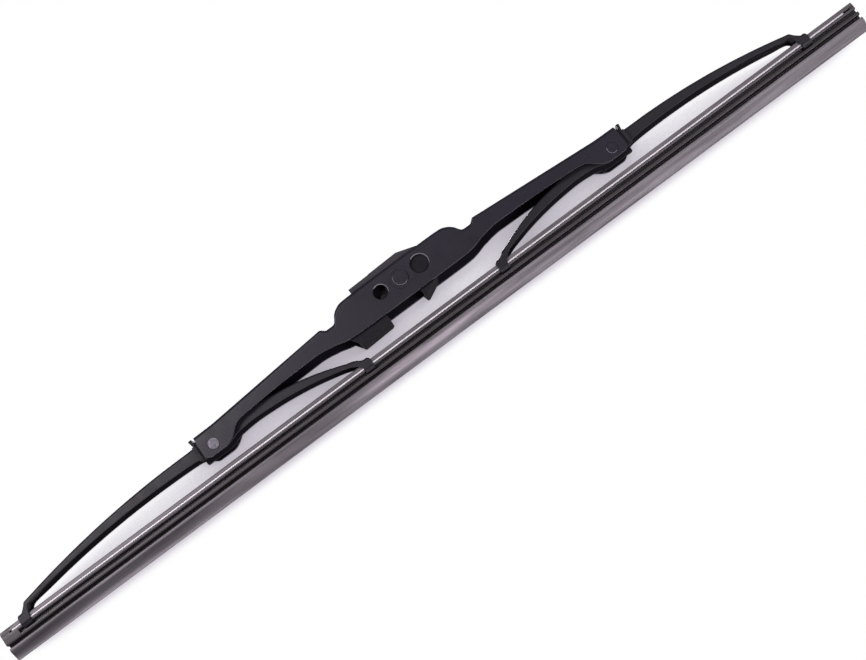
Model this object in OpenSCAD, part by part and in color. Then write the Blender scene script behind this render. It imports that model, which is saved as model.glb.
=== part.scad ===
// Framed wiper blade: a stamped bridge carries two rocking yokes, whose claws hold a
// rubber squeegee stiffened by two spring strips. A hook clip sits on the centre rivet.
// X runs along the blade, Z points from the wiping lip up to the bridge, and Y runs across.
// The origin is the middle of the centre rivet, where the arm's hook seats.

/* [Bridge] */
// Distance from the centre rivet to each yoke pivot
pivot_half = 87.5; // [84:0.5:94]
// Sheet thickness of the bridge
bridge_t = 1.1; // [0.9:0.05:1.3]
// Outside radius of the bridge's folds
bridge_fold = 1.6; // [1.4:0.1:2]
// Height of the raised clip housing above the centre rivet
hump_top = 6.2; // [5.6:0.1:6.8]
// Depth of the housing walls below the centre rivet
belly_drop = 7.6; // [7.1:0.1:8.5]
// Distance from the centre to the middle of each relief notch
notch_x = 30.4; // [29.5:0.1:33]
// Height of the floor of the relief notches
notch_z = 0.8; // [0:0.1:1.1]
// How far the clip housing lies to the left of the centre rivet
housing_shift = 0.6; // [0:0.1:1]
// Height of the arms beside the notches
arm_top = 2.3; // [1.8:0.1:2.7]
// Depth of the arms' lower edges below the centre rivet at the waist
waist_drop = 4.8; // [4.4:0.1:5.3]
// Depth of the arms' lower edges below the centre rivet before the ears
arm_drop = 6.3; // [5.9:0.1:6.8]
// Distance that the arms drop from the notches to the pivots
arm_fall = 4.1; // [3.8:0.05:4.3]
// Depth of the pivot ears below the centre rivet
ear_drop = 11.65; // [11.3:0.1:12.4]
// Length of the bridge past each pivot
end_past_pivot = 5; // [4.5:0.1:6]

/* [Yokes] */
// Depth of the yoke pivots below the centre rivet
pivot_drop = 8.15; // [7.9:0.05:8.4]
// Distance from the rubber's left end to the middle of the left outer claw
left_claw_inset = 10.5; // [9.5:0.1:14]
// Distance from the rubber's right end to the middle of the right outer claw
right_claw_inset = 21.6; // [8:0.1:25]
// Distance from the centre rivet to the middle of the left inner claw
left_inner_claw = 27.7; // [27.5:0.1:31]
// Distance from the centre rivet to the middle of the right inner claw
right_inner_claw = 31.6; // [27:0.1:36]
// Sheet thickness of the yokes
yoke_t = 0.9; // [0.8:0.05:1]
// Outside radius of the yokes' folds
yoke_fold = 1.1; // [1:0.05:1.3]
// Depth of the arms beside the pivot
root_depth = 4.9; // [4.5:0.1:5.5]
// Depth of the arms beside the claws
tip_depth = 1.5; // [1.4:0.1:2]
// Length of a claw along the blade
claw_len = 3.8; // [3.4:0.1:4.5]
// How far each claw reaches in under the rubber's head
claw_reach = 2.5; // [2:0.1:2.6]

/* [Pivot liners] */
// Thickness of the liner over the yoke's back
liner_web = 0.8; // [0.6:0.05:0.95]
// Room over the liner's back, in which the yoke rocks
liner_room = 0.35; // [0.32:0.01:0.45]
// Length of the liner from the pivot towards the centre
liner_back = 6; // [5:0.1:7]
// Thickness of the liner's outer flange
flange_t = 1.3; // [1:0.1:1.6]
// Slit between the bridge's end and the flange
flange_slit = 1; // [0.8:0.1:1.2]
// Depth of the flange below the yoke's pivot
flange_drop = 2.4; // [2:0.1:3]

/* [Rubber squeegee] */
// Length of the rubber
rubber_len = 375; // [370:1:400]
// Distance from the centre rivet down to the top of the rubber
rubber_drop = 16.35; // [16:0.05:17]
// Width of the rubber's head
head_w = 6; // [5.6:0.1:6.6]
// Thickness of the head above the strip slots
head_top = 1; // [0.8:0.05:1.2]
// Thickness of the head below the strip slots
head_low = 0.75; // [0.65:0.05:0.9]
// Height of the groove that the claws run in
claw_groove = 1.2; // [1.15:0.05:1.4]
// Width of the web between the claw grooves
groove_web = 2.2; // [1.8:0.1:2.4]
// Thickness of the shoulder flange under the claws
shoulder_h = 1; // [0.8:0.05:1.2]
// Height of the hinge groove under the shoulder
hinge_h = 1.1; // [0.9:0.05:1.3]
// Thickness of the rubber at the hinge
hinge_w = 0.9; // [0.7:0.05:1.2]
// Height of the body from the hinge to the wiping edge
body_h = 5.3; // [4.8:0.1:6]
// Width at the top of the body
body_w = 5.2; // [4.6:0.1:5.8]
// Thickness of the wiping lip
lip_w = 0.9; // [0.7:0.05:1.2]
// Height of the straight part of the lip
lip_h = 0.6; // [0.4:0.1:1.2]
// Length of the plain block at the closed end
end_block = 6.5; // [5:0.1:7]
// Length of the head that closes the right ends of the strip slots
slot_stop = 1.7; // [1.2:0.1:2]
// Room in the slots past the strips' left ends
slot_room = 0.9; // [0.5:0.1:1.5]

/* [Spring strips] */
// Distance from each end of the rubber to the strips
strip_inset = 4.3; // [3.5:0.1:6]
// Thickness of a strip
strip_t = 0.95; // [0.8:0.01:1]
// Width of a strip across the blade
strip_w = 2; // [1.8:0.05:2.1]
// Play between a strip and its slot, above and below
strip_play = 0.03; // [0.02:0.01:0.05]

/* [Hook clip] */
// Width of the channel that takes the arm's hook
hook_w = 9.3; // [9.1:0.1:9.5]
// Thickness of the cheeks on both sides of the channel
cheek_t = 0.85; // [0.7:0.05:1.2]
// Radius of the nose that the hook wraps round
nose_r = 4.6; // [4.4:0.1:4.8]
// Height of the clip's cheeks above the centre rivet
cheek_top = 8.6; // [8:0.1:9]
// Distance of the cheeks' left end from the centre rivet
cheek_left = 17.5; // [16:0.1:19]
// Distance of the clip's right end from the centre rivet
clip_right = 12.6; // [12.2:0.1:13.5]
// Thickness of the clip's lower webs
clip_web = 1.2; // [1:0.1:1.5]
// Depth of the release lug below the centre rivet
lug_drop = 11.2; // [10.6:0.1:11.6]
// Distance of the release lug's left end from the centre rivet
lug_left = 28; // [26.5:0.1:28]
// Length of the release lug
lug_len = 16.2; // [14:0.1:17]
// Depth of the round pocket behind each small side pin hole
pocket_depth = 3.6; // [2.5:0.1:4]
// Radius of the nub at the foot of each pocket
nub_r = 1.3; // [1:0.1:1.5]

/* [Holes and rivets] */
// Radius of the small side pin hole
small_hole_r = 2.6; // [2.4:0.05:2.7]
// Distance of the small side pin hole from the centre rivet
small_hole_x = 8.7; // [8.3:0.1:9.2]
// Radius of the large side pin hole
large_hole_r = 3.35; // [3.2:0.05:3.5]
// Distance of the large side pin hole from the centre rivet
large_hole_x = 8.4; // [8:0.1:9]
// Bevel round the side pin holes
hole_bevel = 0.3; // [0.2:0.05:0.4]
// Radius of the centre rivet's shank
centre_shank_r = 2.25; // [2:0.05:2.5]
// Radius of the centre rivet's heads
centre_head_r = 2.95; // [2.8:0.05:3.2]
// Height of the centre rivet's heads
centre_head_h = 0.5; // [0.4:0.05:0.8]
// Radius of the pressed ring in which each head of the centre rivet sits
seat_r = 4.15; // [3.8:0.05:4.4]
// Depth of the pressed ring
seat_depth = 0.12; // [0.08:0.01:0.2]
// Radius of the pivot rivets' shanks
pivot_shank_r = 1.5; // [1.3:0.05:1.6]
// Radius of the pivot rivets' heads
pivot_head_r = 2.1; // [1.9:0.05:2.3]
// Height of the pivot rivets' heads
pivot_head_h = 0.5; // [0.4:0.05:0.7]

/* [Clearances] */
// Radial play of each turning bore on its rivet
turn_play = 0.05; // [0.03:0.01:0.08]
// Play beside each turning piece
side_play = 0.1; // [0.08:0.01:0.12]
// Play between the claws and the rubber's head
claw_play = 0.15; // [0.12:0.01:0.2]

/* [Hidden] */
$fn = 48;

paint = "#2a2930";
plastic = "#222226";
rubber = "#5b585c";
steel = "#c9c9c6";
worn = "#8f8d92";

fold_steps = 3;
table_steps = 3;
eps = 0.01;

bridge_end = pivot_half + end_past_pivot;
bridge_w = hook_w + 2*(cheek_t + side_play + bridge_t);
bridge_in = bridge_w/2 - bridge_t;
left_notch = notch_x + housing_shift;
right_notch = notch_x - housing_shift;
window_past = -2.2;

end_dip = 0.1;
end_top = arm_top - arm_fall - end_dip;

strip_proud = 0.05;
strip_len = rubber_len - 2*strip_inset;
claw_in = head_w/2 + claw_play;
yoke_w = 2*(claw_in + yoke_t);
rubber_top = -rubber_drop;
slot_top = rubber_top - head_top;
slot_low = slot_top - strip_t - 2*strip_play;
groove_top = slot_low - head_low;
groove_low = groove_top - claw_groove;
hinge_top = groove_low - shoulder_h;
body_top = hinge_top - hinge_h;
rubber_low = body_top - body_h;

left_outer_reach = rubber_len/2 - left_claw_inset - pivot_half;
right_outer_reach = rubber_len/2 - right_claw_inset - pivot_half;
left_inner_reach = pivot_half - left_inner_claw;
right_inner_reach = pivot_half - right_inner_claw;
liner_under = end_top - bridge_t - liner_room - liner_web;
yoke_top = liner_under - side_play/2;
claw_top = rubber_top + yoke_t + claw_play;
claw_low = (groove_top + groove_low - yoke_t)/2;
curl_r = yoke_t + 0.8;
curl_z = claw_low + curl_r;

clip_w = 2*(bridge_in - side_play);
foot_x = 3.4;
foot_drop = lug_drop - 1.1;
pin_room = 0.2;
flange_lean = 12;

// Smoothed tables: each row is [x, top edge, lower edge]. A monotone cubic joins the rows.
function rise(rows, i, c) = (rows[i + 1][c] - rows[i][c]) / (rows[i + 1][0] - rows[i][0]);
function slope(rows, i, c) =
    i == 0 ? rise(rows, 0, c) :
    i == len(rows) - 1 ? rise(rows, i - 1, c) :
    let (a = rise(rows, i - 1, c), b = rise(rows, i, c)) a*b <= 0 ? 0 : 2*a*b/(a + b);
function cubic(rows, i, c, u) =
    let (h = rows[i + 1][0] - rows[i][0], a = rows[i][c], b = rows[i + 1][c])
    a*(1 + 2*u)*pow(1 - u, 2) + h*slope(rows, i, c)*u*pow(1 - u, 2)
    + b*u*u*(3 - 2*u) - h*slope(rows, i + 1, c)*u*u*(1 - u);
function smoothed(rows) = concat(
    [for (i = [0 : len(rows) - 2], k = [0 : table_steps - 1]) let (u = k/table_steps)
        [rows[i][0] + u*(rows[i + 1][0] - rows[i][0]), cubic(rows, i, 1, u), cubic(rows, i, 2, u)]],
    [rows[len(rows) - 1]]);

// One section of a folded channel that is open below: up the near leg, over the back and
// down the far leg, then back inside. The back is thickened where it slopes, so that the
// sheet keeps its thickness square to the slope.
function arc_yz(y, z, r, from, to) =
    [for (k = [0 : fold_steps]) let (a = from + (to - from)*k/fold_steps) [y + r*cos(a), z + r*sin(a)]];
function section(row, back, w, t, r) =
    let (out = w/2 - r, in_r = r - t, top = row[1], low = row[2], under = top - back - in_r)
    concat([[-w/2, low]], arc_yz(-out, top - r, r, 180, 90), arc_yz(out, top - r, r, 90, 0),
        [[w/2, low], [w/2 - t, low]],
        arc_yz(out, under, in_r, 0, 90), arc_yz(-out, under, in_r, 90, 180), [[t - w/2, low]]);
function tilt(rows, i) =
    let (a = max(i - 1, 0), b = min(i + 1, len(rows) - 1)) (rows[b][1] - rows[a][1])/(rows[b][0] - rows[a][0]);

// Sweeps the section along the smoothed rows, with one ring for each row. The underside of
// the back stays above the given level.
module channel(rows, w, t, r, under = -1000) {
    n = len(rows);
    m = 4*(fold_steps + 2);
    points = [for (i = [0 : n - 1])
        let (back = min(t*sqrt(1 + pow(tilt(rows, i), 2)), rows[i][1] - under))
        for (p = section(rows[i], back, w, t, r)) [rows[i][0], p[0], p[1]]];
    sides = [for (i = [0 : n - 2], j = [0 : m - 1])
        let (a = i*m + j, b = i*m + (j + 1)%m, c = a + m, d = b + m)
        for (f = [[a, b, d], [a, d, c]]) f];
    last = (n - 1)*m;
    ends = [for (k = [0 : m/2 - 2])
        for (f = [[k + 1, k, m - 1 - k, m - 2 - k],
                  [last + k, last + k + 1, last + m - 2 - k, last + m - 1 - k]]) f];
    polyhedron(points, concat(sides, ends), convexity = 6);
}

// Draws a flat outline given in X and Z, and gives it a width about the mid-plane
module across(width) {
    rotate([90, 0, 0]) linear_extrude(width, center = true) children();
}

// A round bar or cutter on an axis that runs across the blade
module cross_pin(r, width) {
    rotate([90, 0, 0]) cylinder(r = r, h = width, center = true);
}

// Half of the bridge's side view, from the centre outwards, with its notch at the given X
function bridge_half(notch) =
    let (arm_x = notch + 3.4, fall = arm_fall/(pivot_half - 3 - arm_x))
    [[0, hump_top, -belly_drop],
     [notch - 13.4, hump_top, -belly_drop],
     [notch - 8.4, hump_top - 0.2, -belly_drop + 0.05],
     [notch - 5.8, hump_top - 1.2, -belly_drop + 0.15],
     [notch - 4, hump_top - 2.7, -belly_drop + 0.3],
     [notch - 3, notch_z + 1.2, -belly_drop + 0.48],
     [notch - 2.2, notch_z + 0.25, -belly_drop + 0.65],
     [notch - 1.2, notch_z, -belly_drop + 0.9],
     [notch + 1, notch_z, -belly_drop + 1.53],
     [notch + 1.9, notch_z + 0.45, -belly_drop + 1.8],
     [arm_x, arm_top, -waist_drop - 0.8],
     [notch + 5.6, arm_top - 2.2*fall, -waist_drop - 0.35],
     [notch + 9.6, arm_top - 6.2*fall, -waist_drop],
     [pivot_half - 14.5, arm_top - fall*(pivot_half - 14.5 - arm_x), -arm_drop],
     [pivot_half - 11.5, arm_top - fall*(pivot_half - 11.5 - arm_x), -arm_drop - 0.5],
     [pivot_half - 8, arm_top - fall*(pivot_half - 8 - arm_x), -ear_drop + 2.4],
     [pivot_half - 5.5, arm_top - fall*(pivot_half - 5.5 - arm_x), -ear_drop + 0.75],
     [pivot_half - 3, arm_top - arm_fall + 0.05, -ear_drop],
     [bridge_end - 2, end_top + 0.02, -ear_drop],
     [bridge_end, end_top, -ear_drop + 1.1]];
function mirrored(rows) = [for (i = [len(rows) - 1 : -1 : 0]) [-rows[i][0], rows[i][1], rows[i][2]]];
function bridge_rows() =
    let (right = bridge_half(right_notch))
    concat(mirrored(bridge_half(left_notch)), [for (i = [1 : len(right) - 1]) right[i]]);

// A hole through both walls of the bridge, with a bevel on each outer face
module side_hole(x, r) {
    translate([x, 0, 0]) {
        cross_pin(r, bridge_w + 2);
        for (side = [-1, 1])
            rotate([side*90, 0, 0]) translate([0, 0, bridge_w/2 - hole_bevel])
                cylinder(r1 = r, r2 = r + hole_bevel + 0.1, h = hole_bevel + 0.1);
    }
}

module bridge() {
    color(paint) difference() {
        channel(smoothed(bridge_rows()), bridge_w, bridge_t, bridge_fold);
        // the hook's window in the back of the clip housing
        translate([-left_notch - window_past, -bridge_in, notch_z - 2*bridge_t])
            cube([left_notch + right_notch + 2*window_past, 2*bridge_in, hump_top + 3*bridge_t]);
        // the pressed rings round the centre rivet
        for (side = [-1, 1]) rotate([side*90, 0, 0]) translate([0, 0, bridge_w/2 - seat_depth])
            cylinder(r1 = seat_r - 0.15, r2 = seat_r + 0.15, h = 2*seat_depth);
        side_hole(-small_hole_x, small_hole_r);
        side_hole(large_hole_x, large_hole_r);
        cross_pin(centre_shank_r, bridge_w + 2);
        for (side = [-1, 1])
            translate([side*pivot_half, 0, -pivot_drop]) cross_pin(pivot_shank_r, bridge_w + 2);
    }
}

// A rivet across the blade: a shank, and at each end a nearly flat head with a rounded rim.
// The undersides of the heads are the given distance from the mid-plane.
module rivet(shank_r, head_r, head_h, half) {
    rim = 0.6*head_h;
    crown = 0.04;
    head = concat([[0, half + head_h]],
        [for (a = [0 : 22.5 : 90])
            [head_r - rim + rim*sin(a), half + head_h - crown - rim*(1 - cos(a))]],
        [[head_r, half], [shank_r, half]]);
    n = len(head) - 1;
    rotate([90, 0, 0]) rotate_extrude()
        polygon(concat(head, [for (i = [n : -1 : 0]) [head[i][0], -head[i][1]]]));
}

module centre_rivet() {
    color(paint) rivet(centre_shank_r, centre_head_r, centre_head_h, bridge_w/2 - seat_depth);
}

module pivot_rivet(side) {
    translate([side*pivot_half, 0, -pivot_drop])
        rivet(pivot_shank_r, pivot_head_r, pivot_head_h, bridge_w/2);
}

module left_pivot_rivet() {
    color(worn) pivot_rivet(-1);
}

module right_pivot_rivet() {
    color(paint) pivot_rivet(1);
}

// A yoke's side view, from the inner claw to the outer claw, with the pivot at X = 0.
// The inner arm falls away as a power of the distance, and the outer arm as a parabola.
function arm_z(share) = yoke_top - (yoke_top - claw_top)*share;
function inner_share(u) = pow(u, 2.5);
function outer_share(u) = 0.02 + 0.775*pow(max(u - 0.15, 0)/0.85, 2);
function arm_depth(u) = root_depth + (tip_depth - root_depth)*u;
function yoke_rows(outer, inner) =
    let (half = claw_len/2)
    concat(
    [[-inner - half, claw_top - 0.7, curl_z],
     [-inner - half + 0.7, claw_top, curl_z],
     [-inner + 0.2, claw_top + 0.1, curl_z],
     [-inner + half - 0.1, arm_z(inner_share(1 - (half + 0.9)/inner)) - 0.35, curl_z + 0.1],
     [-inner + half + 0.6, arm_z(inner_share(1 - (half + 1.3)/inner)), curl_z + 1.5]],
    [for (u = [0.9, 0.8, 0.68, 0.54, 0.4, 0.28])
        [-inner*u, arm_z(inner_share(u)), arm_z(inner_share(u)) - arm_depth(u) - 0.4*sin(180*u)]],
    [[-9, arm_z(inner_share(9/inner)), yoke_top - root_depth - 0.3],
     [-6, yoke_top, -ear_drop + 1.4],
     [-3, yoke_top, -ear_drop + 0.6],
     [3, yoke_top, -ear_drop + 0.6],
     [5.5, yoke_top, -ear_drop + 1.7],
     [9.5, arm_z(0.02), yoke_top - root_depth + 0.1]],
    [for (u = [0.2, 0.3, 0.42, 0.54, 0.66, 0.78, 0.88])
        [outer*u, arm_z(outer_share(u)), arm_z(outer_share(u)) - arm_depth(u)]],
    [[outer - half - 2.8, arm_z(outer_share(1 - (half + 2.8)/outer)),
      arm_z(outer_share(1 - (half + 2.8)/outer)) - arm_depth(1)],
     [outer - half - 1.1, arm_z(outer_share(1 - (half + 1.1)/outer)),
      arm_z(outer_share(1 - (half + 1.1)/outer)) - arm_depth(1) - 0.6],
     [outer - half - 0.05, arm_z(0.84), curl_z],
     [outer - half + 1.3, claw_top + 0.5, curl_z],
     [outer - half + 2.1, claw_top, curl_z],
     [outer + half - 0.6, claw_top, curl_z],
     [outer + half, claw_top - 0.6, curl_z]]);

// A claw pair: each leg runs down past the rubber's head and curls in under it
module claw_pair() {
    wall = yoke_w/2;
    tip = claw_in + yoke_t - claw_reach;
    leg = concat([[-wall, curl_z + 0.4]],
        [for (a = [180 : 15 : 270]) [-wall + curl_r + curl_r*cos(a), curl_z + curl_r*sin(a)]],
        [[-tip, claw_low], [-tip, claw_low + yoke_t]],
        [for (a = [270 : -15 : 180]) let (r = curl_r - yoke_t) [-wall + curl_r + r*cos(a), curl_z + r*sin(a)]],
        [[-wall + yoke_t, curl_z + 0.4]]);
    for (side = [0, 1]) mirror([0, side, 0])
        rotate([90, 0, 90]) linear_extrude(claw_len, center = true) polygon(leg);
}

module yoke(outer, inner) {
    difference() {
        union() {
            channel(smoothed(yoke_rows(outer, inner)), yoke_w, yoke_t, yoke_fold, claw_top - yoke_t);
            translate([outer, 0, 0]) claw_pair();
            translate([-inner, 0, 0]) claw_pair();
        }
        translate([0, 0, -pivot_drop]) cross_pin(pivot_shank_r + turn_play, yoke_w + 2);
    }
}

module left_yoke() {
    color(paint) translate([-pivot_half, 0, 0]) mirror([1, 0, 0]) yoke(left_outer_reach, left_inner_reach);
}

module right_yoke() {
    color(paint) translate([pivot_half, 0, 0]) yoke(right_outer_reach, right_inner_reach);
}

// A moulded saddle that fills the gap between the yoke and the bridge's ear. Its flange
// stands just outside the bridge's end. The pivot is at X = 0 and the flange at +X.
module saddle_outline(w, top, low, corner) {
    out = w/2 - corner;
    polygon(concat([[-w/2, low]],
        [for (a = [180 : -15 : 90]) [-out + corner*cos(a), top - corner + corner*sin(a)]],
        [for (a = [90 : -15 : 0]) [out + corner*cos(a), top - corner + corner*sin(a)]],
        [[w/2, low]]));
}

module liner() {
    inner_w = yoke_w + side_play;
    outer_w = 2*bridge_in - side_play;
    flange_x = end_past_pivot + flange_slit;
    difference() {
        rotate([90, 0, 90]) {
            translate([0, 0, -liner_back]) linear_extrude(liner_back + flange_x + 0.2)
                saddle_outline(outer_w, liner_under + liner_web, -ear_drop + 0.9, bridge_fold - bridge_t + 0.35);
            translate([0, 0, flange_x]) linear_extrude(flange_t)
                saddle_outline(bridge_w, end_top, -pivot_drop - flange_drop, bridge_fold);
        }
        // the yoke's way through
        rotate([90, 0, 90]) translate([0, 0, -liner_back - 1])
            linear_extrude(liner_back + flange_x + flange_t + 2)
                saddle_outline(inner_w, liner_under, -ear_drop - 2, yoke_fold + side_play/2);
        // the flange's outer face leans back towards its top
        translate([flange_x + flange_t, -bridge_w, end_top]) rotate([0, flange_lean, 0])
            translate([0, 0, -3]) cube([3, 2*bridge_w, 6]);
        translate([0, 0, -pivot_drop]) cross_pin(pivot_shank_r + turn_play, bridge_w + 2);
    }
}

module left_pivot_liner() {
    color(plastic) translate([-pivot_half, 0, 0]) mirror([1, 0, 0]) liner();
}

module right_pivot_liner() {
    color(plastic) translate([pivot_half, 0, 0]) liner();
}

// The hook clip's side view, from the top left corner clockwise: the cheeks' top, the right
// end, the foot, and then the release lug
module clip_outline() {
    lug_right = lug_len - lug_left;
    polygon([[-cheek_left, cheek_top - 0.75], [-small_hole_x - 0.2, cheek_top - 0.55],
        [-small_hole_x + 0.2, cheek_top - 0.4], [3.8, cheek_top],
        [clip_right - 1.4, hump_top], [clip_right, 3.4], [clip_right, -4.4],
        [clip_right - 2.3, -belly_drop + 0.5], [foot_x + 0.8, -foot_drop - 0.1], [foot_x, -foot_drop],
        [foot_x - 0.8, -belly_drop + 0.6], [foot_x - 1.4, -belly_drop + 1.4],
        [lug_right, -belly_drop + 1.4], [lug_right, -lug_drop + 1.1], [lug_right - 0.8, -lug_drop + 0.6],
        [-lug_left + 3.1, -lug_drop], [-lug_left, -belly_drop + 1.2], [-lug_left + 0.8, -4.6],
        [-lug_left + 5.5, 1.6], [-cheek_left, 4]]);
}

// The space between the cheeks, left open for the hook: over the nose, round its end and back
// under it. The webs under the lug and under the foot close it below.
module hook_space() {
    bar_left = small_hole_x + small_hole_r + pin_room + clip_web;
    far = 4*nose_r;
    difference() {
        polygon([[-lug_left - nose_r, far], [far, far], [far, -4.2],
            [clip_right - 2.8, -belly_drop + 0.5 + clip_web], [foot_x + 1, -foot_drop + clip_web],
            [foot_x - 1.4, -foot_drop + clip_web], [-lug_left + 1.6, -lug_drop + clip_web],
            [-lug_left - nose_r, -lug_drop + clip_web + 6]]);
        circle(r = nose_r);
        translate([-bar_left, -nose_r]) square([bar_left, 2*nose_r]);
    }
}

module hook_clip() {
    snap_w = 2*(centre_shank_r - 0.2);
    color(plastic) difference() {
        across(clip_w) clip_outline();
        across(hook_w) hook_space();
        cross_pin(centre_shank_r + turn_play, clip_w + 2);
        // the way by which the clip snaps over the rivet
        translate([-snap_w/2, -hook_w/2, -nose_r - 1]) cube([snap_w, hook_w, nose_r + 1]);
        for (side = [-1, 1]) translate([0, side*clip_w/2, 0]) {
            // the pocket behind the small hole, with a nub left standing at its foot
            difference() {
                translate([-small_hole_x, 0, 0]) cross_pin(small_hole_r + pin_room, 2*pocket_depth);
                translate([-small_hole_x - 0.25, 0, -small_hole_r + 0.15]) cross_pin(nub_r, clip_w);
            }
            // the dimple behind the large hole
            translate([large_hole_x - 0.5, 0, 1.4]) cross_pin(0.4, 0.4);
        }
    }
}

// The rubber's cross-section, down the far side and up the near side
module rubber_section() {
    half = head_w/2;
    slot = half - strip_w + strip_proud - strip_play;
    bevel = 0.35;
    side = [[half - bevel, rubber_top], [half, rubber_top - bevel], [half, slot_top], [slot, slot_top],
        [slot, slot_low], [half, slot_low], [half, groove_top + bevel], [half - bevel, groove_top],
        [groove_web/2, groove_top], [groove_web/2, groove_low], [half - 0.2, groove_low],
        [half - 0.2, hinge_top + 0.3], [half - 0.6, hinge_top], [hinge_w/2, hinge_top],
        [hinge_w/2, body_top], [body_w/2 - 0.4, body_top], [body_w/2, body_top - 0.4],
        [body_w/2 - 0.1, body_top - 1.2],
        [lip_w/2, rubber_low + lip_h], [lip_w/2, rubber_low]];
    polygon(concat(side, [for (i = [len(side) - 1 : -1 : 0]) [-side[i][0], side[i][1]]]));
}

module rubber_squeegee() {
    left = -rubber_len/2;
    slot_h = slot_top - slot_low;
    color(rubber) {
        translate([left, 0, 0]) rotate([90, 0, 90]) linear_extrude(rubber_len) rubber_section();
        // the closed end, where the claw grooves stop
        translate([left, -head_w/2, groove_low - eps]) cube([end_block, head_w, claw_groove + head_low]);
        // the stops at the ends of the strip slots: [left end, length]
        for (stop = [[left, strip_inset - slot_room], [-left - slot_stop, slot_stop]])
            translate([stop[0], -head_w/2, slot_low - eps]) cube([stop[1], head_w, slot_h + 2*eps]);
    }
}

// A flat steel strip with rounded corners, lying in its slot with its edge just proud
module spring_strip(side) {
    corner = 0.5;
    inner = head_w/2 + strip_proud - strip_w;
    translate([0, side*(inner + strip_w/2), slot_low + strip_play]) linear_extrude(strip_t) {
        square([strip_len - 2*corner, strip_w], center = true);
        square([strip_len, strip_w - 2*corner], center = true);
        for (x = [-1, 1], y = [-1, 1])
            translate([x*(strip_len/2 - corner), y*(strip_w/2 - corner)]) circle(r = corner);
    }
}

module near_spring_strip() {
    color(steel) spring_strip(-1);
}

module far_spring_strip() {
    color(steel) spring_strip(1);
}

bridge();
centre_rivet();
left_pivot_rivet();
right_pivot_rivet();
left_yoke();
right_yoke();
left_pivot_liner();
right_pivot_liner();
hook_clip();
rubber_squeegee();
near_spring_strip();
far_spring_strip();
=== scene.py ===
"""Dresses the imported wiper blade: paint, plastic, rubber and spring steel, in soft studio light.

Sizes are in millimetres and are turned into metres where a mesh is made. X runs along the
blade, Z points from the wiping lip up to the bridge, and Y runs away from the camera.
"""
import math

import bpy
import numpy as np
from mathutils import Matrix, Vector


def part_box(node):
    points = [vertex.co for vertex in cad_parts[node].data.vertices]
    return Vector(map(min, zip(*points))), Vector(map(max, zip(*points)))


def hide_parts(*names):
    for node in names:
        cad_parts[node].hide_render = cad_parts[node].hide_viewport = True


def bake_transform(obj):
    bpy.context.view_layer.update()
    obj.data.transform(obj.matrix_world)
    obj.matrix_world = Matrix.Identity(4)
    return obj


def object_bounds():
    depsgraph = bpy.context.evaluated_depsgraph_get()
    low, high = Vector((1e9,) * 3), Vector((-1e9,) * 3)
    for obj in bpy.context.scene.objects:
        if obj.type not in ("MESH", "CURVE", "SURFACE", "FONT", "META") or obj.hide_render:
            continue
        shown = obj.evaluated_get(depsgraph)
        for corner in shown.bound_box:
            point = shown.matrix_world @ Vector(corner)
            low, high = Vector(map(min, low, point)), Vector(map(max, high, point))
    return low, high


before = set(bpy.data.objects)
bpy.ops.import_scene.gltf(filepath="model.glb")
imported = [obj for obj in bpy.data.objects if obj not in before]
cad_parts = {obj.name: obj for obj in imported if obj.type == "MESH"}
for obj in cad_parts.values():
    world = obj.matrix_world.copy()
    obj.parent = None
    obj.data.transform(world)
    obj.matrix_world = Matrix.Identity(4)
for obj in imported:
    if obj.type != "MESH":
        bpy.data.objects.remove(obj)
cad_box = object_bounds()

MM = 0.001

# The camera: where it stands, where it looks, how far it is rolled and how it is framed
CAMERA_AT = np.array([-17.24, -537.97, -140.24])
LOOK = np.array([0.02799, 0.97591, 0.21635])
ROLL = math.radians(36.6)
FOCAL_PX = 1553.75
PICTURE_W_PX = 866
SENSOR_W = 36

# The rubber's section, from the head's top down
HEAD_TOP = 1.0         # above the strip's slot
SKIRT_DOWN = 0.46      # how far the head's soft edge hangs over the strip
SKIRT_OUT = 0.16       # how far that edge stands out, past the strip's face
SLOT_DEPTH = 1.98
STRIP_ROOM = 0.02      # between the strip's face and the soft edge
HEAD_LOW = 0.90        # below the strip's slot
CLAW_GROOVE = 1.28
GROOVE_WEB = 2.2       # what the claws' groove leaves in the middle
SHOULDER = 1.18
SHOULDER_INSET = 0.2
HINGE_GROOVE = 1.2
HINGE_W = 0.9
BODY_W = 5.2
BODY_STRAIGHT = 1.2    # the body's upper part, which narrows only by the taper on each side
BODY_TAPER = 0.1
LIP_W = 0.9
LIP_H = 0.6
CURVE_STEPS = 3        # faces round each of its corners

# The rubber along the blade
END_BLOCK = 6.5        # length of the left end that the claws' groove leaves whole
SLOT_STOP = 1.7        # length of the right end that the slot leaves whole
SLOT_ROOM = 0.9        # beyond the strip's left end
STATION = 4.0          # between outlines
STEP = 0.04            # over which a slot or groove opens
END_RING = 0.25        # from each end to its first outline

# The strips' corners, in plan and along their edges
STRIP_CORNER = 0.5
STRIP_EDGE = 0.16

# Angles, in degrees
SMOOTH_BELOW = 38      # between faces that are shaded as one
BEVEL_OVER = 36        # between faces whose edge is rounded
FLAT_WITHIN = 0.6      # between triangles that make one flat face


def corners_of(node):
    """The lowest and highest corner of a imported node, in millimetres."""
    low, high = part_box(node)
    return np.array(low)/MM, np.array(high)/MM


RUBBER_LOW, RUBBER_HIGH = corners_of("rubber_squeegee")
STRIP_LOW, STRIP_HIGH = corners_of("far_spring_strip")


# Meshes

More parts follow.
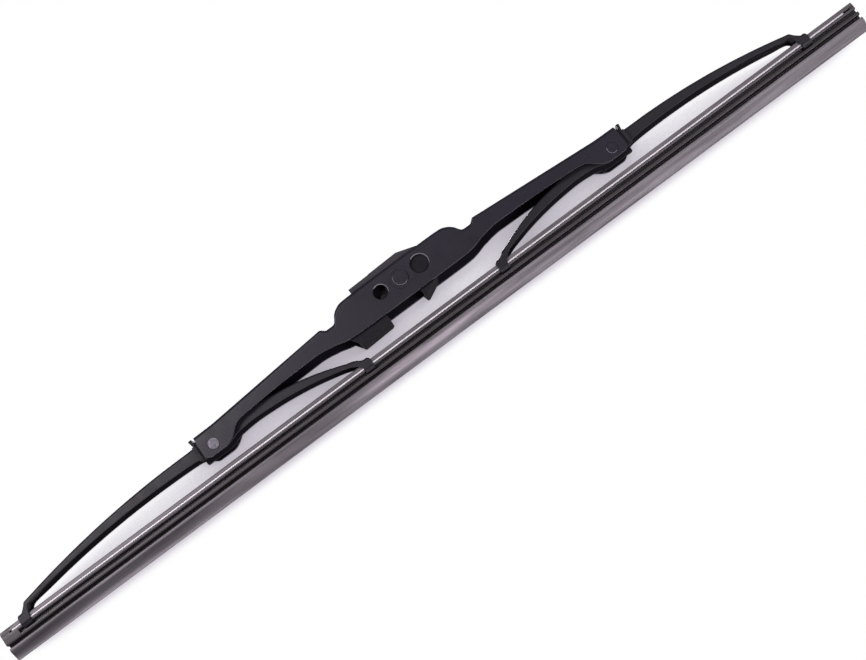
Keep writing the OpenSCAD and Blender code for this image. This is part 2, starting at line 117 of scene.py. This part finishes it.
def rounded(corners, radii, steps):
    """Closed outlines with their corners rounded.

    corners has one outline per ring, as (rings, corners, 2). Each corner becomes a short
    quadratic curve: it starts and ends a radius away along the two sides, never past 45% of
    a side, and the corner itself is the curve's handle.
    """
    before = np.roll(corners, 1, axis=1) - corners
    after = np.roll(corners, -1, axis=1) - corners
    len_before = np.linalg.norm(before, axis=2, keepdims=True) + 1e-9
    len_after = np.linalg.norm(after, axis=2, keepdims=True) + 1e-9
    reach = np.asarray(radii)[None, :, None]
    start = corners + before/len_before*np.minimum(reach, 0.45*len_before)
    end = corners + after/len_after*np.minimum(reach, 0.45*len_after)
    t = np.linspace(0, 1, steps + 1)[None, None, :, None]
    curve = (1 - t)**2*start[:, :, None] + 2*t*(1 - t)*corners[:, :, None] + t**2*end[:, :, None]
    return curve.reshape(len(corners), -1, 2)


def swept_mesh(name, x, outlines, bands=None):
    """A closed solid from one outline (y, z) at each station x, in millimetres.

    Point (i, j) of the grid is the j-th outline point at station i. Neighbouring stations are
    joined by quads, and the first and last outlines close the ends. bands, if given, holds
    one value per outline point and is kept on the mesh for its material.
    """
    rings, around = outlines.shape[:2]
    points = np.empty((rings, around, 3))
    points[..., 0] = x[:, None]
    points[..., 1:] = outlines
    index = np.arange(rings*around).reshape(rings, around)
    a, b = index[:-1], index[1:]
    quads = np.stack([a, b, np.roll(b, -1, axis=1), np.roll(a, -1, axis=1)], axis=-1)
    caps = [index[0].tolist(), index[-1][::-1].tolist()]
    mesh = bpy.data.meshes.new(name)
    mesh.from_pydata((points.reshape(-1, 3)*MM).tolist(), [],
                     quads.reshape(-1, 4).tolist() + caps)
    mesh.update()
    if bands is not None:
        kept = mesh.attributes.new("band", "FLOAT", "POINT")
        kept.data.foreach_set("value", np.tile(bands, rings).astype(np.float32))
    made = bpy.data.objects.new(name, mesh)
    bpy.context.scene.collection.objects.link(made)
    return made


def shade_group():
    """A modifier that smooths a mesh's shading except over its sharper edges."""
    group = bpy.data.node_groups.new("soft_shading", "GeometryNodeTree")
    group.interface.new_socket("Geometry", in_out="INPUT", socket_type="NodeSocketGeometry")
    group.interface.new_socket("Geometry", in_out="OUTPUT", socket_type="NodeSocketGeometry")
    start = group.nodes.new("NodeGroupInput")
    end = group.nodes.new("NodeGroupOutput")
    faces = group.nodes.new("GeometryNodeSetShadeSmooth")
    faces.domain = "FACE"
    angle = group.nodes.new("GeometryNodeInputMeshEdgeAngle")
    gentle = group.nodes.new("FunctionNodeCompare")
    gentle.operation = "LESS_THAN"
    gentle.inputs[1].default_value = math.radians(SMOOTH_BELOW)
    edges = group.nodes.new("GeometryNodeSetShadeSmooth")
    edges.domain = "EDGE"
    group.links.new(start.outputs[0], faces.inputs[0])
    group.links.new(faces.outputs[0], edges.inputs[0])
    group.links.new(angle.outputs["Unsigned Angle"], gentle.inputs[0])
    group.links.new(gentle.outputs[0], edges.inputs["Shade Smooth"])
    group.links.new(edges.outputs[0], end.inputs[0])
    return group


SOFT_SHADING = shade_group()


def shade(piece):
    modifier = piece.modifiers.new("shading", "NODES")
    modifier.node_group = SOFT_SHADING


def soften(piece, radius):
    """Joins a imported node's loose triangles and rounds its edges by a radius in millimetres."""
    weld = piece.modifiers.new("weld", "WELD")
    weld.merge_threshold = 0.002*MM
    flats = piece.modifiers.new("flats", "DECIMATE")
    flats.decimate_type = "DISSOLVE"
    flats.angle_limit = math.radians(FLAT_WITHIN)
    edge = piece.modifiers.new("edge_radius", "BEVEL")
    edge.width = radius*MM
    edge.segments = 2
    edge.limit_method = "ANGLE"
    edge.angle_limit = math.radians(BEVEL_OVER)
    edge.use_clamp_overlap = True
    edge.miter_outer = "MITER_ARC"
    shade(piece)
    even = piece.modifiers.new("even_flats", "WEIGHTED_NORMAL")
    even.mode = "FACE_AREA"
    even.keep_sharp = True


# Nodes

def add_node(tree, kind, **values):
    """A new node, with inputs set by their names; a name's spaces are written as _."""
    node = tree.nodes.new(kind)
    for socket, value in values.items():
        node.inputs[socket.replace("_", " ")].default_value = value
    return node


def join(tree, *pairs):
    for output, socket in pairs:
        tree.links.new(output, socket)


def fill_ramp(node, stops):
    """Sets a ramp's stops: numbers or colours at places from 0 to 1."""
    bar = node.color_ramp
    while len(bar.elements) < len(stops):
        bar.elements.new(0.5)
    for element, (at, tone) in zip(bar.elements, stops):
        element.position = at
        element.color = (tone, tone, tone, 1) if np.isscalar(tone) else (*tone, 1)


def stops_between(low, high, stops):
    """Stops at places from low to high, in millimetres, as places from 0 to 1."""
    return [((at - low)/(high - low), tone) for at, tone in stops]


class Finish:
    """A material and the few kinds of node that its patterns are built from."""

    def __init__(self, name):
        self.material = bpy.data.materials.new(name)
        self.material.use_nodes = True
        self.tree = self.material.node_tree
        self.surface = self.tree.nodes["Principled BSDF"]
        self.place = self.tree.nodes.new("ShaderNodeTexCoord").outputs["Object"]

    def set(self, **values):
        for socket, value in values.items():
            self.surface.inputs[socket.replace("_", " ")].default_value = value

    def link(self, output, socket):
        self.tree.links.new(output, self.surface.inputs[socket])

    def noise(self, size, detail, stretch=(1, 1, 1), rough=0.5):
        """Cloudy noise with features of about the given size in millimetres."""
        mapping = add_node(self.tree, "ShaderNodeMapping", Scale=[1/s for s in stretch])
        node = add_node(self.tree, "ShaderNodeTexNoise",
                        Scale=1/(size*MM), Detail=detail, Roughness=rough)
        join(self.tree, (self.place, mapping.inputs["Vector"]),
             (mapping.outputs["Vector"], node.inputs["Vector"]))
        return node.outputs["Fac"]

    def ramp(self, value, stops):
        """Numbers or colours at places from 0 to 1, joined by straight lines."""
        node = self.tree.nodes.new("ShaderNodeValToRGB")
        fill_ramp(node, stops)
        self.tree.links.new(value, node.inputs["Fac"])
        return node.outputs["Color"]

    def math(self, operation, a, b):
        node = self.tree.nodes.new("ShaderNodeMath")
        node.operation = operation
        for socket, value in zip(node.inputs, (a, b)):
            if np.isscalar(value):
                socket.default_value = value
            else:
                self.tree.links.new(value, socket)
        return node.outputs[0]

    def mix(self, share, a, b):
        """Colour a where share is 0 and colour b where it is 1."""
        node = self.tree.nodes.new("ShaderNodeMix")
        node.data_type = "RGBA"
        self.tree.links.new(share, node.inputs[0])
        for socket, colour in ((node.inputs[6], a), (node.inputs[7], b)):
            if isinstance(colour, tuple):
                socket.default_value = (*colour, 1)
            else:
                self.tree.links.new(colour, socket)
        return node.outputs[2]

    def bump(self, height, depth, strength):
        """Raises the surface by depth millimetres where height is 1."""
        node = add_node(self.tree, "ShaderNodeBump", Distance=depth*MM, Strength=strength)
        self.tree.links.new(height, node.inputs["Height"])
        self.link(node.outputs["Normal"], "Normal")

    def reach_from(self, centre, size):
        """Distance from an axis along Y through centre, as a share of size, in millimetres."""
        flat = self.tree.nodes.new("ShaderNodeVectorMath")
        flat.operation = "MULTIPLY"
        flat.inputs[1].default_value = (1, 0, 1)
        away = self.tree.nodes.new("ShaderNodeVectorMath")
        away.operation = "DISTANCE"
        away.inputs[1].default_value = [c*MM for c in centre]
        join(self.tree, (self.place, flat.inputs[0]), (flat.outputs["Vector"], away.inputs[0]))
        return self.math("DIVIDE", away.outputs["Value"], size*MM)

    def share(self, axis, low, high):
        """How far a point lies along an axis, from 0 at low to 1 at high, in millimetres."""
        split = self.tree.nodes.new("ShaderNodeSeparateXYZ")
        node = add_node(self.tree, "ShaderNodeMapRange", From_Min=low*MM, From_Max=high*MM)
        join(self.tree, (self.place, split.inputs[0]), (split.outputs[axis], node.inputs["Value"]))
        return node.outputs["Result"]

    def scaled(self, colour, factor):
        node = self.tree.nodes.new("ShaderNodeVectorMath")
        node.operation = "SCALE"
        join(self.tree, (colour, node.inputs[0]), (factor, node.inputs["Scale"]))
        return node.outputs["Vector"]

    def edges_towards(self, side):
        """1 on slanted edge faces that look towards a side, and 0 on walls and cut ends."""
        normal = self.tree.nodes.new("ShaderNodeNewGeometry").outputs["True Normal"]
        towards = self.tree.nodes.new("ShaderNodeVectorMath")
        towards.operation = "DOT_PRODUCT"
        towards.inputs[1].default_value = side
        split = self.tree.nodes.new("ShaderNodeSeparateXYZ")
        join(self.tree, (normal, towards.inputs[0]), (normal, split.inputs[0]))
        across = self.math("ABSOLUTE", split.outputs["Y"], 0.0)
        slant = self.ramp(across, [(0.28, 0.0), (0.36, 1.0), (0.95, 1.0), (0.975, 0.0)])
        facing = self.ramp(towards.outputs["Value"], [(0.12, 0.0), (0.20, 1.0)])
        return self.math("MULTIPLY", slant, facing)

    def attribute(self, name):
        node = self.tree.nodes.new("ShaderNodeAttribute")
        node.attribute_name = name
        return node.outputs["Fac"]


# Materials

LEFT_PIVOT = (-87.5, 0, -8.15)
RIVET_HEAD = 2.5       # radius of a pivot rivet's head
# The painted highlight on the paint's stamped edges: the side those edges face, and its grey
HIGHLIGHT_SIDE = (-0.75, 0, -0.66)
HIGHLIGHT_TONE = (0.15, 0.143, 0.165)

# Where the edges get their painted highlight, by distance from the centre rivet's axis: the
# pressed ring round the rivet lies too deep for it
HIGHLIGHT_REACH = 10.0
HIGHLIGHT_FROM_RIVET = [(3.2, 1.0), (3.4, 0.0), (4.7, 0.0), (5.0, 1.0)]


def satin_paint(name, tone, shine, edge_highlight=False):
    """Dipped black paint: a slow drift of tone, faint orange peel and a little settled dust.

    Where asked, the stamped edges that look down and left get a painted highlight, a thin grey
    line.
    """
    paint = Finish(name)
    drift = paint.ramp(paint.noise(14, 2), [(0.3, 0.0), (0.7, 1.0)])
    body = paint.mix(drift, tone, tuple(1.25*c for c in tone))
    dust = paint.ramp(paint.noise(0.35, 1), [(0.735, 0.0), (0.78, 0.35)])
    body = paint.mix(dust, body, (0.10, 0.095, 0.10))
    if edge_highlight:
        # painted highlight: a thin grey line on the edges that face down and left, where they
        # catch the light
        clear = paint.ramp(paint.reach_from((0, 0, 0), HIGHLIGHT_REACH),
                           stops_between(0, HIGHLIGHT_REACH, HIGHLIGHT_FROM_RIVET))
        wear_and_edge_highlight = paint.math("MULTIPLY", paint.edges_towards(HIGHLIGHT_SIDE), clear)
        body = paint.mix(wear_and_edge_highlight, body, HIGHLIGHT_TONE)
    paint.link(body, "Base Color")
    rough = paint.ramp(paint.noise(5, 4, rough=0.6), [(0.3, 0.34), (0.7, 0.43)])
    paint.link(rough, "Roughness")
    paint.bump(paint.noise(0.7, 2), 0.012, 0.6)
    paint.set(Specular_IOR_Level=shine)
    return paint.material


def moulded_plastic(name, tone, shine, painted_top_light=None):
    """Moulded black plastic with a fine spark-eroded grain and paler scuffs.

    If given, the last argument holds two heights over which the top is painted paler: painted
    light.
    """
    plastic = Finish(name)
    scuff = plastic.ramp(plastic.noise(2.2, 5, rough=0.65), [(0.48, 0.0), (0.72, 0.5)])
    body = plastic.mix(scuff, tone, tuple(2.4*c for c in tone))
    if painted_top_light:
        # painted light: paler towards the top, where the light falls from above
        body = plastic.mix(plastic.share("Z", *painted_top_light), body, (0.030, 0.028, 0.033))
    plastic.link(body, "Base Color")
    plastic.set(Specular_IOR_Level=shine)
    plastic.link(plastic.ramp(plastic.noise(1.5, 3), [(0.3, 0.5), (0.7, 0.66)]), "Roughness")
    plastic.bump(plastic.noise(0.22, 2), 0.02, 0.7)
    return plastic.material


def worn_steel(name):
    """The left pivot rivet's head, whose paint is scuffed through to dull steel."""
    steel = Finish(name)
    patches = steel.ramp(steel.noise(0.8, 4, rough=0.7), [(0.44, 0.25), (0.58, 0.8)])
    rim = steel.ramp(steel.reach_from(LEFT_PIVOT, RIVET_HEAD), [(0.64, 0.0), (0.74, 1.0)])
    bare = steel.math("MAXIMUM", patches, rim)
    steel.link(steel.mix(bare, (0.030, 0.028, 0.036), (0.13, 0.12, 0.145)), "Base Color")
    steel.link(steel.ramp(bare, [(0.0, 0.5), (1.0, 0.45)]), "Roughness")
    steel.link(steel.math("MULTIPLY", bare, 0.5), "Metallic")
    steel.bump(steel.noise(0.5, 3), 0.03, 0.8)
    return steel.material


# Painted light on the rubber's body: how much lighter or darker its bloom is painted by height,
# with a painted highlight band across the body near the blade's middle. Each row starts at its
# first place along the blade and is full at its second; the first row holds from the left end on.
BODY_SPAN = (-29, -22)
BLADE_SPAN = (-190, 190)
BODY_PAINTED_LIGHT = [
    (None, None, [(-28.2, 2.0), (-27.2, 1.9), (-26.2, 0.65), (-25.2, 0.36), (-24.2, 0.48),
                  (-23.5, 1.5)]),
    (-110, -84, [(-28.2, 1.3), (-27.6, 1.1), (-26.5, 1.0), (-25.2, 1.0), (-24.0, 1.0),
                 (-23.5, 1.05)]),
    (-45, -22, [(-28.2, 1.4), (-26.9, 1.1), (-26.0, 2.4), (-25.2, 3.4), (-24.4, 2.4),
                (-23.5, 1.2)]),
    (8, 34, [(-28.2, 1.5), (-27.4, 1.25), (-26.3, 1.9), (-25.3, 1.2), (-24.4, 1.05),
             (-23.6, 1.45)]),
    (135, 165, [(-28.2, 1.2), (-27.4, 1.1), (-26.3, 1.25), (-25.3, 1.1), (-24.4, 1.0),
                (-23.6, 1.15)])]


def graphite_rubber(name):
    """Grey-black rubber with a graphite bloom that lies in long streaks and smears.

    The band kept on the mesh is 1 on faces that are wiped and bloom, and 0 deep in a groove:
    painted shade.
    """
    rubber = Finish(name)
    streak = rubber.noise(1.1, 4, stretch=(22, 1, 1), rough=0.6)
    cloud = rubber.noise(9, 3, stretch=(3, 1, 1))
    marks = rubber.math("ADD", rubber.math("MULTIPLY", streak, 0.6),
                        rubber.math("MULTIPLY", cloud, 0.4))
    smear = rubber.ramp(marks, [(0.38, 0.0), (0.62, 1.0)])
    pale = rubber.mix(smear, (0.062, 0.057, 0.062), (0.122, 0.112, 0.122))
    speck = rubber.ramp(rubber.noise(0.5, 2), [(0.66, 0.0), (0.74, 0.55)])
    pale = rubber.mix(speck, pale, (0.045, 0.040, 0.045))
    height = rubber.share("Z", *BODY_SPAN)
    length = rubber.share("X", *BLADE_SPAN)
    body_painted_light = None
    # painted light: the body is painted lighter and darker by height and along the blade, with a
    # painted highlight band near the middle
    for start, full, stops in BODY_PAINTED_LIGHT:
        here = rubber.ramp(height, stops_between(*BODY_SPAN, stops))
        if body_painted_light is None:
            body_painted_light = here
        else:
            reached = stops_between(*BLADE_SPAN, [(start, 0.0), (full, 1.0)])
            body_painted_light = rubber.mix(rubber.ramp(length, reached), body_painted_light, here)
    pale = rubber.scaled(pale, body_painted_light)
    # deep in the slot and grooves the band paints the rubber near black: painted shade
    band = rubber.attribute("band")
    rubber.link(rubber.mix(band, (0.012, 0.010, 0.011), pale), "Base Color")
    rubber.link(rubber.ramp(smear, [(0.0, 0.36), (1.0, 0.48)]), "Roughness")
    rubber.bump(rubber.noise(1.6, 1, stretch=(22, 1, 1)), 0.02, 0.25)
    rubber.set(Specular_IOR_Level=0.32)
    return rubber.material


def rolled_steel(name):
    """Bright spring strip with fine rolling lines along it."""
    steel = Finish(name)
    lines = steel.noise(0.7, 1, stretch=(90, 1, 1))
    steel.link(steel.mix(lines, (0.44, 0.43, 0.44), (0.54, 0.53, 0.54)), "Base Color")
    steel.link(steel.ramp(lines, [(0.3, 0.50), (0.7, 0.58)]), "Roughness")
    steel.set(Metallic=1.0)
    return steel.material


# Pieces

def rubber_corners(slot, groove):
    """The rubber's section at each station: corners (y, z), corner radii, and bloom and painted
    shade.

    slot and groove hold one value per station: 1 where the strip's slot or the claws' groove
    is open to its full depth, and 0 where it is closed. The far side runs from the head's top
    down to the lip, and the near side is its mirror image.
    """
    half = RUBBER_HIGH[1]
    top, low = RUBBER_HIGH[2], RUBBER_LOW[2]
    slot_top = top - HEAD_TOP
    slot_low = STRIP_LOW[2] - (slot_top - STRIP_HIGH[2])
    groove_top = slot_low - HEAD_LOW
    groove_low = groove_top - CLAW_GROOVE
    hinge_top = groove_low - SHOULDER
    body_top = hinge_top - HINGE_GROOVE
    one = np.ones_like(slot)
    skirt = half*one + SKIRT_OUT*slot
    skirt_low = slot_top - SKIRT_DOWN*slot
    behind_skirt = (STRIP_HIGH[1] + STRIP_ROOM)*slot + half*(1 - slot)
    slot_in = half - SLOT_DEPTH*slot
    web = half - (half - GROOVE_WEB/2)*groove
    shoulder = half*one - SHOULDER_INSET*groove
    # each row: y, z, corner radius, bloom (low in the slot and grooves, as painted shade)
    rows = [(half*one, top, 0.40, 0.70),
            (skirt, skirt_low, 0.03, 0.54),
            (behind_skirt, skirt_low, 0.01, 0.10),
            (behind_skirt, slot_top, 0.01, 0.10),
            (slot_in, slot_top, 0.10, 0.10),
            (slot_in, slot_low, 0.10, 0.10),
            (half*one, slot_low, 0.06, 0.30),
            (half*one, groove_top, 0.32, 0.30),
            (web, groove_top, 0.15, 0.0),
            (web, groove_low, 0.20, 0.0),
            (shoulder, groove_low, 0.25, 0.08),
            (shoulder, hinge_top, 0.30, 0.08),
            (HINGE_W/2*one, hinge_top, 0.30, 0.0),
            (HINGE_W/2*one, body_top, 0.35, 0.0),
            (BODY_W/2*one, body_top, 0.60, 0.95),
            ((BODY_W/2 - BODY_TAPER)*one, body_top - BODY_STRAIGHT, 0.60, 1.0),
            (LIP_W/2*one, low + LIP_H, 0.50, 0.90),
            (LIP_W/2*one, low, 0.04, 0.90)]
    far = np.stack([np.stack([y, z*one], axis=-1) for y, z, _, _ in rows], axis=1)
    near = far*np.array([-1, 1])
    corners = np.concatenate([far, near[:, ::-1]], axis=1)
    radii = [row[2] for row in rows]
    bloom = [row[3] for row in rows]
    return corners, np.array(radii + radii[::-1]), np.array(bloom + bloom[::-1])


def rubber_half(side):
    """Half of the rubber, from the middle of the blade to one end."""
    if side == "left":
        end = RUBBER_LOW[0]
        slot_end = STRIP_LOW[0] - SLOT_ROOM
        block_end = end + END_BLOCK
        x = np.concatenate([[end, end + END_RING, slot_end, slot_end + STEP,
                             block_end, block_end + STEP],
                            np.arange(block_end + STATION, 0, STATION), [0]])
        slot = (x > slot_end + STEP/2).astype(float)
        groove = (x > block_end + STEP/2).astype(float)
    else:
        end = RUBBER_HIGH[0]
        stop = end - SLOT_STOP
        x = np.concatenate([np.arange(0, stop - STATION, STATION),
                            [stop - STEP, stop, end - END_RING, end]])
        slot = (x < stop - STEP/2).astype(float)
        groove = np.ones_like(x)
    corners, radii, bloom = rubber_corners(slot, groove)
    outlines = rounded(corners, radii, CURVE_STEPS)
    return swept_mesh(f"rubber_{side}", x, outlines, np.repeat(bloom, CURVE_STEPS + 1))


def strip_half(which, side):
    """Half of a spring strip: a flat bar whose end corners are rounded in plan."""
    low, high = corners_of(f"{which}_spring_strip")
    turn = STRIP_CORNER*(1 - np.cos(np.linspace(0, math.pi/2, 6)))
    run = np.linspace(STRIP_CORNER, -low[0], 40)
    inset = STRIP_CORNER - np.sqrt(np.maximum(STRIP_CORNER**2 - (STRIP_CORNER - turn)**2, 0))
    x = low[0] + np.concatenate([turn, run[1:]])
    narrow = np.concatenate([inset, np.zeros(len(run) - 1)])
    if side == "right":
        x, narrow = -x[::-1], narrow[::-1]
    far, near = high[1] - narrow, low[1] + narrow
    y = np.stack([far, far, near, near], axis=1)
    z = np.broadcast_to([high[2], low[2], low[2], high[2]], y.shape)
    outlines = rounded(np.stack([y, z], axis=-1), [STRIP_EDGE]*4, 4)
    return swept_mesh(f"{which}_strip_{side}", x, outlines)


def dress_rubber_and_strips(rubber_finish, steel_finish):
    """The rubber and the strips are made as halves, from the middle of the blade to each end."""
    for side in ("left", "right"):
        half = rubber_half(side)
        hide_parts("rubber_squeegee")
        half.data.materials.append(rubber_finish)
        halves = [half]
        for which in ("near", "far"):
            strip = strip_half(which, side)
            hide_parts(f"{which}_spring_strip")
            strip.data.materials.append(steel_finish)
            halves.append(strip)
        for piece in halves:
            shade(piece)
            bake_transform(piece)


def dress_node(name, finish, radius):
    """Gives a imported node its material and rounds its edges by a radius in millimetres."""
    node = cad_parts[name]
    node.data.materials.clear()
    node.data.materials.append(finish)
    soften(node, radius)


def dress_frame():
    # the bridge's edges that face down and left get a painted highlight
    bridge_paint = satin_paint("bridge_paint", (0.0062, 0.0056, 0.0104), 0.21, edge_highlight=True)
    yoke_paint = satin_paint("yoke_paint", (0.0105, 0.0096, 0.0125), 0.15)
    liner_plastic = moulded_plastic("liner_plastic", (0.0085, 0.0078, 0.0100), 0.2)
    # the clip's top is painted paler, as painted light from above
    clip_plastic = moulded_plastic("clip_plastic", (0.0046, 0.0041, 0.0060), 0.12,
                                   painted_top_light=(5.0, 6.8))
    wear_and_edge_highlight = worn_steel("worn_rivet")
    dress_node("bridge", bridge_paint, 0.3)
    dress_node("centre_rivet", bridge_paint, 0.2)
    dress_node("right_pivot_rivet", bridge_paint, 0.2)
    dress_node("left_pivot_rivet", wear_and_edge_highlight, 0.08)
    for side in ("left", "right"):
        dress_node(f"{side}_yoke", yoke_paint, 0.12)
        dress_node(f"{side}_pivot_liner", liner_plastic, 0.12)
    dress_node("hook_clip", clip_plastic, 0.15)


# Stage, light and camera

# The white sheet: its distance behind the blade, its half width and height, and how near the
# blade has to stand to shade it
SHEET_BEHIND = 0.3
SHEET_SPAN, SHEET_REACH = 900, 700
SHADE_REACH = 60
SKY_SIDE = (0.0, -0.99, 0.14)

# The sheet's tones from the deepest shade to open sky
SHEET_TONES = [(0.10, (0.34, 0.32, 0.36)), (0.36, (0.60, 0.565, 0.63)),
               (0.44, (0.78, 0.745, 0.81)), (0.52, (1.0, 1.0, 1.0))]

# The studio light's faint rose cast
LIGHT_TINT = (1.0, 0.93, 0.99)
FILL_TINT = (0.98, 0.915, 1.0, 1)

# Soft boxes: name, place, size, power, and whether they light gloss only
LAMPS = [("key", (-420, -900, 420), (500, 400), 9.5, False),
         ("rim", (350, -600, -420), (300, 300), 4.0, False),
         ("back", (0, 700, 350), (500, 300), 6.0, False),
         ("edges", (60, -240, -760), (800, 200), 4.0, True),
         ("glint", (480, -880, 300), (500, 400), 1.2, True)]


def backdrop():
    """A white sheet that the blade lies against.

    It shows only to the camera and only from the front, so the blade can be seen from behind
    too. It glows white where the sky above and in front is open to it, and is painted a soft
    lavender shadow where the blade stands close.
    """
    plane_y = cad_box[1][1]/MM + SHEET_BEHIND
    around = ((-SHEET_SPAN, -SHEET_REACH), (SHEET_SPAN, -SHEET_REACH),
              (SHEET_SPAN, SHEET_REACH), (-SHEET_SPAN, SHEET_REACH))
    mesh = bpy.data.meshes.new("backdrop")
    mesh.from_pydata([(x*MM, plane_y*MM, z*MM) for x, z in around], [], [(0, 1, 2, 3)])
    sheet = bpy.data.objects.new("backdrop", mesh)
    bpy.context.scene.collection.objects.link(sheet)
    material = bpy.data.materials.new("backdrop")
    material.use_nodes = True
    tree = material.node_tree
    tree.nodes.clear()
    lean = add_node(tree, "ShaderNodeCombineXYZ", X=SKY_SIDE[0], Y=SKY_SIDE[1], Z=SKY_SIDE[2])
    open_sky = add_node(tree, "ShaderNodeAmbientOcclusion", Distance=SHADE_REACH*MM)
    open_sky.samples = 16
    # painted shadow: the sheet's glow runs through these tones, lavender where the blade stands
    # close
    tones = tree.nodes.new("ShaderNodeValToRGB")
    fill_ramp(tones, SHEET_TONES)
    lit = tree.nodes.new("ShaderNodeEmission")
    clear = tree.nodes.new("ShaderNodeBsdfTransparent")
    ray = tree.nodes.new("ShaderNodeLightPath")
    side = tree.nodes.new("ShaderNodeNewGeometry")
    front = tree.nodes.new("ShaderNodeMath")
    front.operation = "SUBTRACT"
    front.use_clamp = True
    seen = tree.nodes.new("ShaderNodeMixShader")
    out = tree.nodes.new("ShaderNodeOutputMaterial")
    join(tree, (lean.outputs[0], open_sky.inputs["Normal"]),
         (open_sky.outputs["AO"], tones.inputs["Fac"]),
         (tones.outputs["Color"], lit.inputs["Color"]),
         (ray.outputs["Is Camera Ray"], front.inputs[0]),
         (side.outputs["Backfacing"], front.inputs[1]),
         (front.outputs[0], seen.inputs[0]),
         (clear.outputs[0], seen.inputs[1]),
         (lit.outputs[0], seen.inputs[2]),
         (seen.outputs[0], out.inputs[0]))
    mesh.materials.append(material)


def world_light():
    """Even studio light; the camera sees plain white instead."""
    world = bpy.data.worlds.new("studio")
    bpy.context.scene.world = world
    world.use_nodes = True
    tree = world.node_tree
    tree.nodes.clear()
    fill = add_node(tree, "ShaderNodeBackground", Color=FILL_TINT, Strength=0.36)
    white = add_node(tree, "ShaderNodeBackground", Color=(1, 1, 1, 1), Strength=1.0)
    ray = tree.nodes.new("ShaderNodeLightPath")
    pick = tree.nodes.new("ShaderNodeMixShader")
    out = tree.nodes.new("ShaderNodeOutputWorld")
    join(tree, (ray.outputs["Is Camera Ray"], pick.inputs[0]),
         (fill.outputs[0], pick.inputs[1]), (white.outputs[0], pick.inputs[2]),
         (pick.outputs[0], out.inputs[0]))


def lamp(name, at, size, power, sheen_only):
    """A soft box that faces the blade's middle; at and size are in millimetres."""
    data = bpy.data.lights.new(name, "AREA")
    data.shape = "RECTANGLE"
    data.size, data.size_y = size[0]*MM, size[1]*MM
    data.energy = power
    data.color = LIGHT_TINT
    made = bpy.data.objects.new(name, data)
    made.location = [c*MM for c in at]
    made.rotation_mode = "QUATERNION"
    made.rotation_quaternion = (-made.location).to_track_quat("-Z", "Y")
    made.visible_diffuse = not sheen_only
    bpy.context.scene.collection.objects.link(made)


def camera():
    """The picture's viewpoint, from its position, its direction and its roll."""
    forward = LOOK/np.linalg.norm(LOOK)
    level = np.array([1.0, 0, 0]) - forward*forward[0]
    level /= np.linalg.norm(level)
    above = np.cross(level, forward)
    right = level*math.cos(ROLL) - above*math.sin(ROLL)
    up = level*math.sin(ROLL) + above*math.cos(ROLL)
    data = bpy.data.cameras.new("camera")
    data.sensor_fit = "HORIZONTAL"
    data.sensor_width = SENSOR_W
    data.lens = FOCAL_PX/PICTURE_W_PX*SENSOR_W
    data.clip_start = 0.01
    made = bpy.data.objects.new("camera", data)
    matrix = np.eye(4)
    for column, axis in enumerate((right, up, -forward, CAMERA_AT*MM)):
        matrix[:3, column] = axis
    made.matrix_world = Matrix(matrix.tolist())
    bpy.context.scene.collection.objects.link(made)
    bpy.context.scene.camera = made


dress_frame()
dress_rubber_and_strips(graphite_rubber("graphite_rubber"), rolled_steel("spring_steel"))
backdrop()
world_light()
for box in LAMPS:
    lamp(*box)
camera()
bpy.context.scene.view_settings.view_transform = "Standard"
